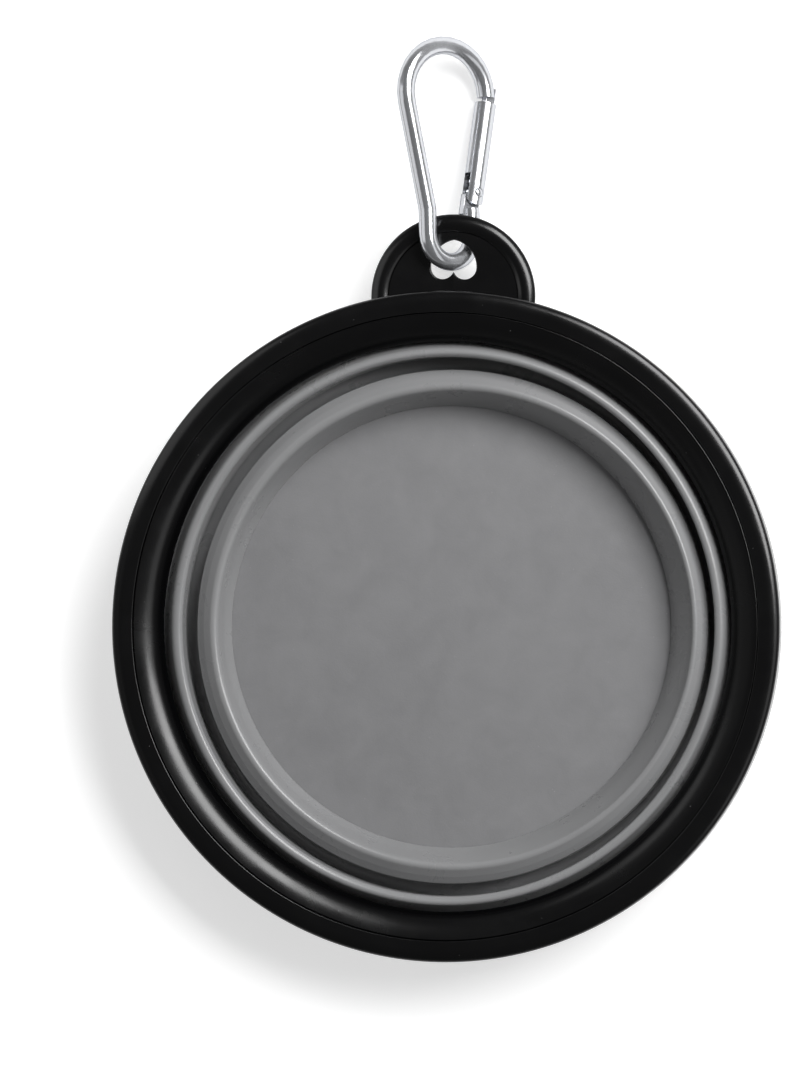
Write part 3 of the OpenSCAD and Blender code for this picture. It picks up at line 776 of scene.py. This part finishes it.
class BOWL_OT_wall(Operator):
    """Builds the silicone wall: its three bands and the two folds between them"""

    bl_idname = "bowl.wall"
    bl_label = "Silicone wall"

    def execute(self, context):
        wall, finish = context.scene.bowl_wall, context.scene.bowl_finish
        seat = context.scene.bowl_base.radius + wall.seat_gap
        soft = grey_silicone(finish)
        lip_r, lip_low = seat - wall.lip_over, context.scene.bowl_base.top - wall.lip_dip
        upper, tops = belt([
            (wall.band_r, wall.band_top, 0, 0),
            (wall.valley_1, wall.valley_1_top, wall.valley_1_in, -1),
            (wall.crest_1, wall.crest_1_z, wall.crest_out, 1),
            (wall.valley_2, wall.valley_2_top, wall.valley_2_in, -1),
            (wall.step_r, wall.step_z, wall.step_bend, 1),
            (wall.slope_r, wall.slope_z, wall.crest_out, 1),
            (wall.crest_2, wall.crest_2_z, wall.crest_out, 1),
            (lip_r + wall.lip, wall.lip_z, wall.lip, 1),
            (lip_r, lip_low, 0, 0),
        ])
        valley_2_z = wall.valley_z + wall.valley_2_out - wall.valley_1_out
        under, backs = belt([
            (wall.band_r + wall.band_t, wall.band_top, 0, 0),
            (wall.valley_1, wall.valley_z, wall.valley_1_out, -1),
            (wall.crest_1, wall.crest_1_z, wall.crest_in, 1),
            (wall.valley_2, valley_2_z, wall.valley_2_out, -1),
            (wall.crest_2, wall.crest_2_z, wall.crest_in, 1),
            (wall.foot_r, wall.sole_t, 0, 0),
        ])
        # The upper face's step and slope have no match on the under face
        del tops[4:6]
        faces = [(upper, tops), (under, backs)]
        # The rows at which the wall is parted: on its straight lengths, near the bends
        cuts = [
            [top[1] + WALL_STEPS // 2, crest_1[1] + CUT_ROWS, valley_2[0] - CUT_ROWS, crest_2[1] + CUT_ROWS]
            for _, (top, _, crest_1, valley_2, crest_2, *_) in faces
        ]

        def strip(first, last):
            """Outline of the wall between two of the cuts."""
            start, stop = ([rows[k] for rows in cuts] for k in (first, last))
            above, below = (rows[a:b + 1, :2] for rows, a, b in zip((upper, under), start, stop))
            return np.concatenate([above, below[::-1]])

        def uneven(shape):
            """Lets the soft crests rise and fall a little round the bowl, and lie a little to one side."""
            points, quads = shape
            turn = np.arctan2(points[:, 1], points[:, 0])
            across = np.hypot(points[:, 0], points[:, 1])
            part = np.clip((across - wall.foot_r) / (wall.band_r - wall.foot_r), 0, 1)
            swell = sum(height * np.sin(waves * turn + phase) for height, waves, phase in RIPPLES)
            points[:, 2] += wall.ripple * swell * np.sin(math.pi * part) ** 0.5
            near, crest, valley = wall.near, wall.crest_1, wall.valley_1
            stops = [seat + near, wall.crest_2 - near, wall.step_r, crest - near / 2, valley - near / 2]
            points[:, 0] += np.interp(across, stops, [0, wall.set_2, wall.set_step, wall.set_1, 0])
            points[:, 2] += np.interp(across, stops[2:], [0, wall.tilt, 0]) * (np.sin(turn) - np.cos(turn))
            longer = np.interp(across, stops, [0, -wall.oval_2, 0, wall.oval, 0]) * np.cos(2 * turn)
            points[:, :2] *= (1 - longer / np.maximum(across, MERGE))[:, None]
            return points, quads

        def soft_piece(name, shape):
            return new_piece(f"soft_{name}", shape, soft, [name])

        def fold(name, first, last):
            """The ring of a fold between two of the cuts, with its place baked into its points."""
            piece = soft_piece(name, uneven(lathe(strip(first, last))))
            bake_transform(piece)

        top = wall.band_top + wall.flange_rise
        flange_low = top - wall.flange_t
        outer_band = [
            (wall.band_r, top), (wall.flange_r, top), (wall.flange_r, flange_low),
            (wall.band_r + wall.band_t, flange_low),
            *under[:cuts[1][0] + 1, :2], *upper[:cuts[0][0] + 1, :2][::-1],
        ]
        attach(soft_piece("outer_band", lathe(outer_band)), "rim")
        fold("upper_fold", 0, 1)
        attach(soft_piece("middle_band", uneven(lathe(strip(1, 2)))), "middle")
        fold("lower_fold", 2, 3)

        base_band = [
            (0, 0), (wall.foot_r - wall.sole_edge, 0),
            *under[cuts[1][3]:, :2][::-1], *upper[cuts[0][3]:, :2],
            (seat, lip_low), (seat, wall.sole_t), (0, wall.sole_t),
        ]
        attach(soft_piece("base_band", uneven(lathe(base_band))), "base")
        return {"FINISHED"}


class BOWL_OT_base(Operator):
    """Turns the stiff disc that makes the bowl's floor"""

    bl_idname = "bowl.base"
    bl_label = "Base disc"

    def execute(self, context):
        base = context.scene.bowl_base
        edge, corner = base.edge, base.radius - base.edge
        disc = [
            (0, base.low), *oval((corner, base.low + edge), edge, edge, -90, 0, CORNER_STEPS),
            *oval((corner, base.top - edge), edge, edge, 0, 90, CORNER_STEPS), (0, base.top),
        ]
        material = cloudy_base(context.scene.bowl_finish)
        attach(new_piece("base_disc", lathe(disc), material, ["base_plate"]), "base")
        return {"FINISHED"}


def hook_places(sizes):
    """Matrices of the hook's own frame and of the gate's frame at its pivot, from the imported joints."""
    normal = Vector(JOINTS["gate_open"]["axis"]).normalized()
    along = Vector(JOINTS["plunger_push"]["axis"]).normalized()
    pivot = Vector(JOINTS["gate_open"]["pos_m"])
    gate = Matrix((along.cross(normal), along, normal)).transposed()
    hook = gate @ Matrix.Rotation(sizes.lean, 3, "Z")
    reach = sizes.small_bend + (sizes.pivot_h - sizes.neck_h) * math.tan(sizes.lean)
    origin = pivot - hook @ Vector((reach, sizes.pivot_h, 0))
    return Matrix.LocRotScale(origin, hook, None), Matrix.LocRotScale(pivot, gate, None)


class BOWL_OT_hook(Operator):
    """Bends the rod of the snap hook, with the tang and the tongue that carry and stop its gate"""

    bl_idname = "bowl.hook"
    bl_label = "Snap hook"

    def execute(self, context):
        sizes, finish = context.scene.bowl_hook, context.scene.bowl_finish
        hook, gate = hook_places(sizes)
        radius, bend, lean = sizes.rod_d / 2, sizes.small_bend, sizes.lean
        top = sizes.hook_len - bend - 2 * radius
        big_y = (top - bend * math.cos(lean) + sizes.neck_h * math.sin(lean)) / (1 + math.sin(lean))
        big = top - big_y
        shoulder = sizes.pivot_h - sizes.gate_tail - 2 * sizes.side_gap
        neck, _ = belt([
            (bend, shoulder - sizes.edge, 0, 0), (0, 0, bend, -1), (-bend, sizes.neck_h, 0, 0),
        ])
        spine, _ = belt([
            (-bend, sizes.neck_h, 0, 0), (0, big_y, big, -1), (big, big_y - sizes.edge, 0, 0),
        ])
        path = np.concatenate([neck[:-1], spine[:-1]])
        path = np.c_[path, np.ones(len(path))]
        kink = len(neck) - 1
        path[kink, 2] += lean / 2 if path[kink, 2] < neck[-1][2] else -lean / 2
        path[kink, 3] = 1 / math.cos(lean / 2)
        gate_top = (big_y - sizes.pivot_h) / math.cos(lean) - sizes.nose_gap
        tail = sizes.pivot_h - shoulder + radius
        wide = sizes.gate_d / 2 + sizes.side_gap
        flat = math.degrees(math.asin(sizes.tang_flat / sizes.tang_r))
        tang = [
            (-wide, -tail), (sizes.tang_r, -tail),
            *oval((0, 0), sizes.tang_r, sizes.tang_r, 0, flat, EDGE_STEPS),
            *oval((0, 0), sizes.tang_r, sizes.tang_r, 180 - flat, 180, EDGE_STEPS),
            (-sizes.tang_r, -sizes.tang_r / 2), (-wide, -sizes.tang_r / 2),
        ]
        first, last = gate_top - sizes.tongue_len, gate_top + sizes.nose_gap + radius
        side = sizes.gate_d / 8
        tongue = [(-side, first), (3 * side, first), (3 * side, last), (-side, last)]
        shape = join(
            placed(rod(path, radius, sizes.edge), hook),
            placed(slab(tang, sizes.tang_t, sizes.edge / 2), gate),
            placed(slab(tongue, sizes.tang_t, sizes.edge / 2), gate),
        )
        metal = polished_metal("hook_metal", finish.metal, finish.metal_rough, finish)
        piece = new_piece("hook_rod", shape, metal, ["carabiner_body"])
        # The kink stays a crease: its edges lie in the plane that halves the bend there
        corner, back = Vector((-bend, sizes.neck_h, 0)), hook.inverted()
        slope = Vector((math.sin(lean / 2), -math.cos(lean / 2), 0))
        spots = [back @ vertex.co - corner for vertex in piece.data.vertices]
        in_crease = [abs(spot.dot(slope)) < 10 * MERGE and spot.length < 2 * radius for spot in spots]
        for edge in piece.data.edges:
            if all(in_crease[vertex] for vertex in edge.vertices):
                edge.use_edge_sharp = True
        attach(piece, "hook")
        return {"FINISHED"}


class BOWL_OT_gate(Operator):
    """Winds the gate's spring and finishes the gate, its rivet and its plunger"""

    bl_idname = "bowl.gate"
    bl_label = "Gate"

    def execute(self, context):
        sizes, finish = context.scene.bowl_hook, context.scene.bowl_finish
        _, gate = hook_places(sizes)
        metal = polished_metal("gate_metal", finish.metal, finish.metal_rough, finish)
        steel = polished_metal("spring_steel", finish.steel, finish.steel_rough, finish)
        for name, material in (("carabiner_gate", metal), ("gate_rivet", metal), ("gate_plunger", steel)):
            node = frame["nodes"][name]
            node.data.materials.clear()
            node.data.materials.append(material)

        wire = sizes.coil_wire / 2
        rise = sizes.coil_len - 2 * wire
        turns = math.floor(rise / sizes.coil_pitch)
        coil = sizes.coil_d / 2 - wire
        around = np.linspace(0, 2 * math.pi, WIRE_SIDES, endpoint=False)
        along = np.array([0, 1, 0])
        rings = []
        for t in np.linspace(0, 1, turns * COIL_STEPS + 1):
            turn = 2 * math.pi * turns * t
            out = np.array([math.cos(turn), 0, math.sin(turn)])
            middle = coil * out + (sizes.coil_low + wire + rise * t) * along
            rings.append(middle + wire * (np.outer(np.cos(around), out) + np.outer(np.sin(around), along)))
        spring = new_piece("gate_coil", placed(capped(rings), gate), steel, ["gate_spring"])
        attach(spring, "gate")
        return {"FINISHED"}


class BOWL_OT_stage(Operator):
    """Lays the white floor, sets the soft studio light and the camera of the photo"""

    bl_idname = "bowl.stage"
    bl_label = "Stage, light and camera"

    def execute(self, context):
        scene, sizes = context.scene, context.scene.bowl_stage
        rim = scene.bowl_rim
        floor = bpy.data.meshes.new("floor")
        half, low = sizes.floor_w / 2, CAD_LOW.z - sizes.floor_gap
        corners = [(x * half, y * half, low) for x, y in ((-1, -1), (1, -1), (1, 1), (-1, 1))]
        floor.from_pydata(corners, [], [(0, 1, 2, 3)])
        paper = Surface(
            "floor_white", Base_Color=scene.bowl_finish.floor, Specular_IOR_Level=0.1,
            Emission_Color=(1, 1, 1, 1), Emission_Strength=sizes.glow,
        )
        paper.feed(Roughness=span(paper.tree, paper.texture(grain, scale=400), low=0.85, high=0.95))
        floor.materials.append(paper.material)
        sheet = bpy.data.objects.new("floor", floor)
        scene.collection.objects.link(sheet)

        def soft_light(name, aim):
            """A rectangular light that looks at aim from where its settings put it."""
            light = getattr(scene, f"bowl_{name}")
            data = bpy.data.lights.new(name, "AREA")
            data.shape = "RECTANGLE"
            data.energy, data.size, data.size_y = light.power, light.width, light.height
            lamp = bpy.data.objects.new(name, data)
            level = math.cos(light.rise)
            place = Vector((math.cos(light.turn) * level, math.sin(light.turn) * level, math.sin(light.rise)))
            lamp.location = Vector(aim) + place * light.far
            lamp.rotation_euler = place.to_track_quat("Z", "Y").to_euler()
            scene.collection.objects.link(lamp)

        for name in ("key", "fill", "card"):
            soft_light(name, aim=(0, 0, 0))
        soft_light("hook_card", aim=JOINTS["gate_open"]["pos_m"])

        world = bpy.data.worlds.new("studio")
        world.use_nodes = True
        tree = world.node_tree
        way = add(tree, "ShaderNodeTexCoord")
        parts = add(tree, "ShaderNodeSeparateXYZ", [("Vector", way.outputs["Generated"])])
        sky = span(tree, parts.outputs["Z"], sizes.sky, sizes.zenith, 0, sizes.zenith_z, "SMOOTHSTEP")
        tree.links.new(sky, tree.nodes["Background"].inputs["Strength"])
        tree.nodes["Background"].inputs["Color"].default_value = (1, 1, 1, 1)
        scene.world = world

        data = bpy.data.cameras.new("camera")
        camera = bpy.data.objects.new("camera", data)
        scene.collection.objects.link(camera)
        pixel = rim.radius / PHOTO_RIM[2]
        right = Vector((math.cos(sizes.camera_roll), math.sin(sizes.camera_roll), 0))
        up = Vector((-right.y, right.x, 0))
        target = right * (PHOTO_SIZE[0] / 2 - PHOTO_RIM[0]) + up * (PHOTO_RIM[1] - PHOTO_SIZE[1] / 2)
        target = Vector((target.x * pixel, target.y * pixel, rim.top))
        camera.location = Vector((sizes.camera_x, 0, rim.top + sizes.camera_h))
        back = (camera.location - target).normalized()
        side = up.cross(back).normalized()
        camera.rotation_euler = Matrix((side, back.cross(side), back)).transposed().to_euler()
        data.sensor_width = SENSOR_W
        data.lens = data.sensor_width * (camera.location - target).length / (PHOTO_SIZE[1] * pixel)
        data.clip_start = sizes.clip
        scene.camera = camera
        scene.view_settings.view_transform = "Standard"
        return {"FINISHED"}


STEPS = (BOWL_OT_rim, BOWL_OT_tab, BOWL_OT_wall, BOWL_OT_base, BOWL_OT_hook, BOWL_OT_gate, BOWL_OT_stage)
SETTINGS = {
    "bowl_rim": RimSizes, "bowl_tab": TabSizes, "bowl_wall": WallSizes, "bowl_base": BaseSizes,
    "bowl_hook": HookSizes, "bowl_finish": Finish, "bowl_stage": StageSizes, "bowl_key": KeyLight,
    "bowl_fill": FillLight, "bowl_card": CardLight, "bowl_hook_card": HookLight,
}


class BOWL_PT_sidebar(Panel):
    bl_label = "Collapsible bowl"
    bl_idname = "BOWL_PT_sidebar"
    bl_space_type = "VIEW_3D"
    bl_region_type = "UI"
    bl_category = "Bowl"

    def draw(self, context):
        for step in STEPS:
            self.layout.operator(step.bl_idname)
        for name, sizes in SETTINGS.items():
            box = self.layout.box()
            box.label(text=sizes.__name__)
            for entry in sizes.__annotations__:
                box.prop(getattr(context.scene, name), entry)


def register():
    for made in (*SETTINGS.values(), *STEPS, BOWL_PT_sidebar):
        bpy.utils.register_class(made)
    for name, sizes in SETTINGS.items():
        setattr(bpy.types.Scene, name, PointerProperty(type=sizes))


def unregister():
    for name in SETTINGS:
        delattr(bpy.types.Scene, name)
    for made in (BOWL_PT_sidebar, *STEPS[::-1], *list(SETTINGS.values())[::-1]):
        bpy.utils.unregister_class(made)


def main():
    register()
    bpy.ops.bowl.rim()
    bpy.ops.bowl.tab()
    bpy.ops.bowl.wall()
    bpy.ops.bowl.base()
    bpy.ops.bowl.hook()
    bpy.ops.bowl.gate()
    bpy.ops.bowl.stage()


if __name__ == "__main__":
    main()
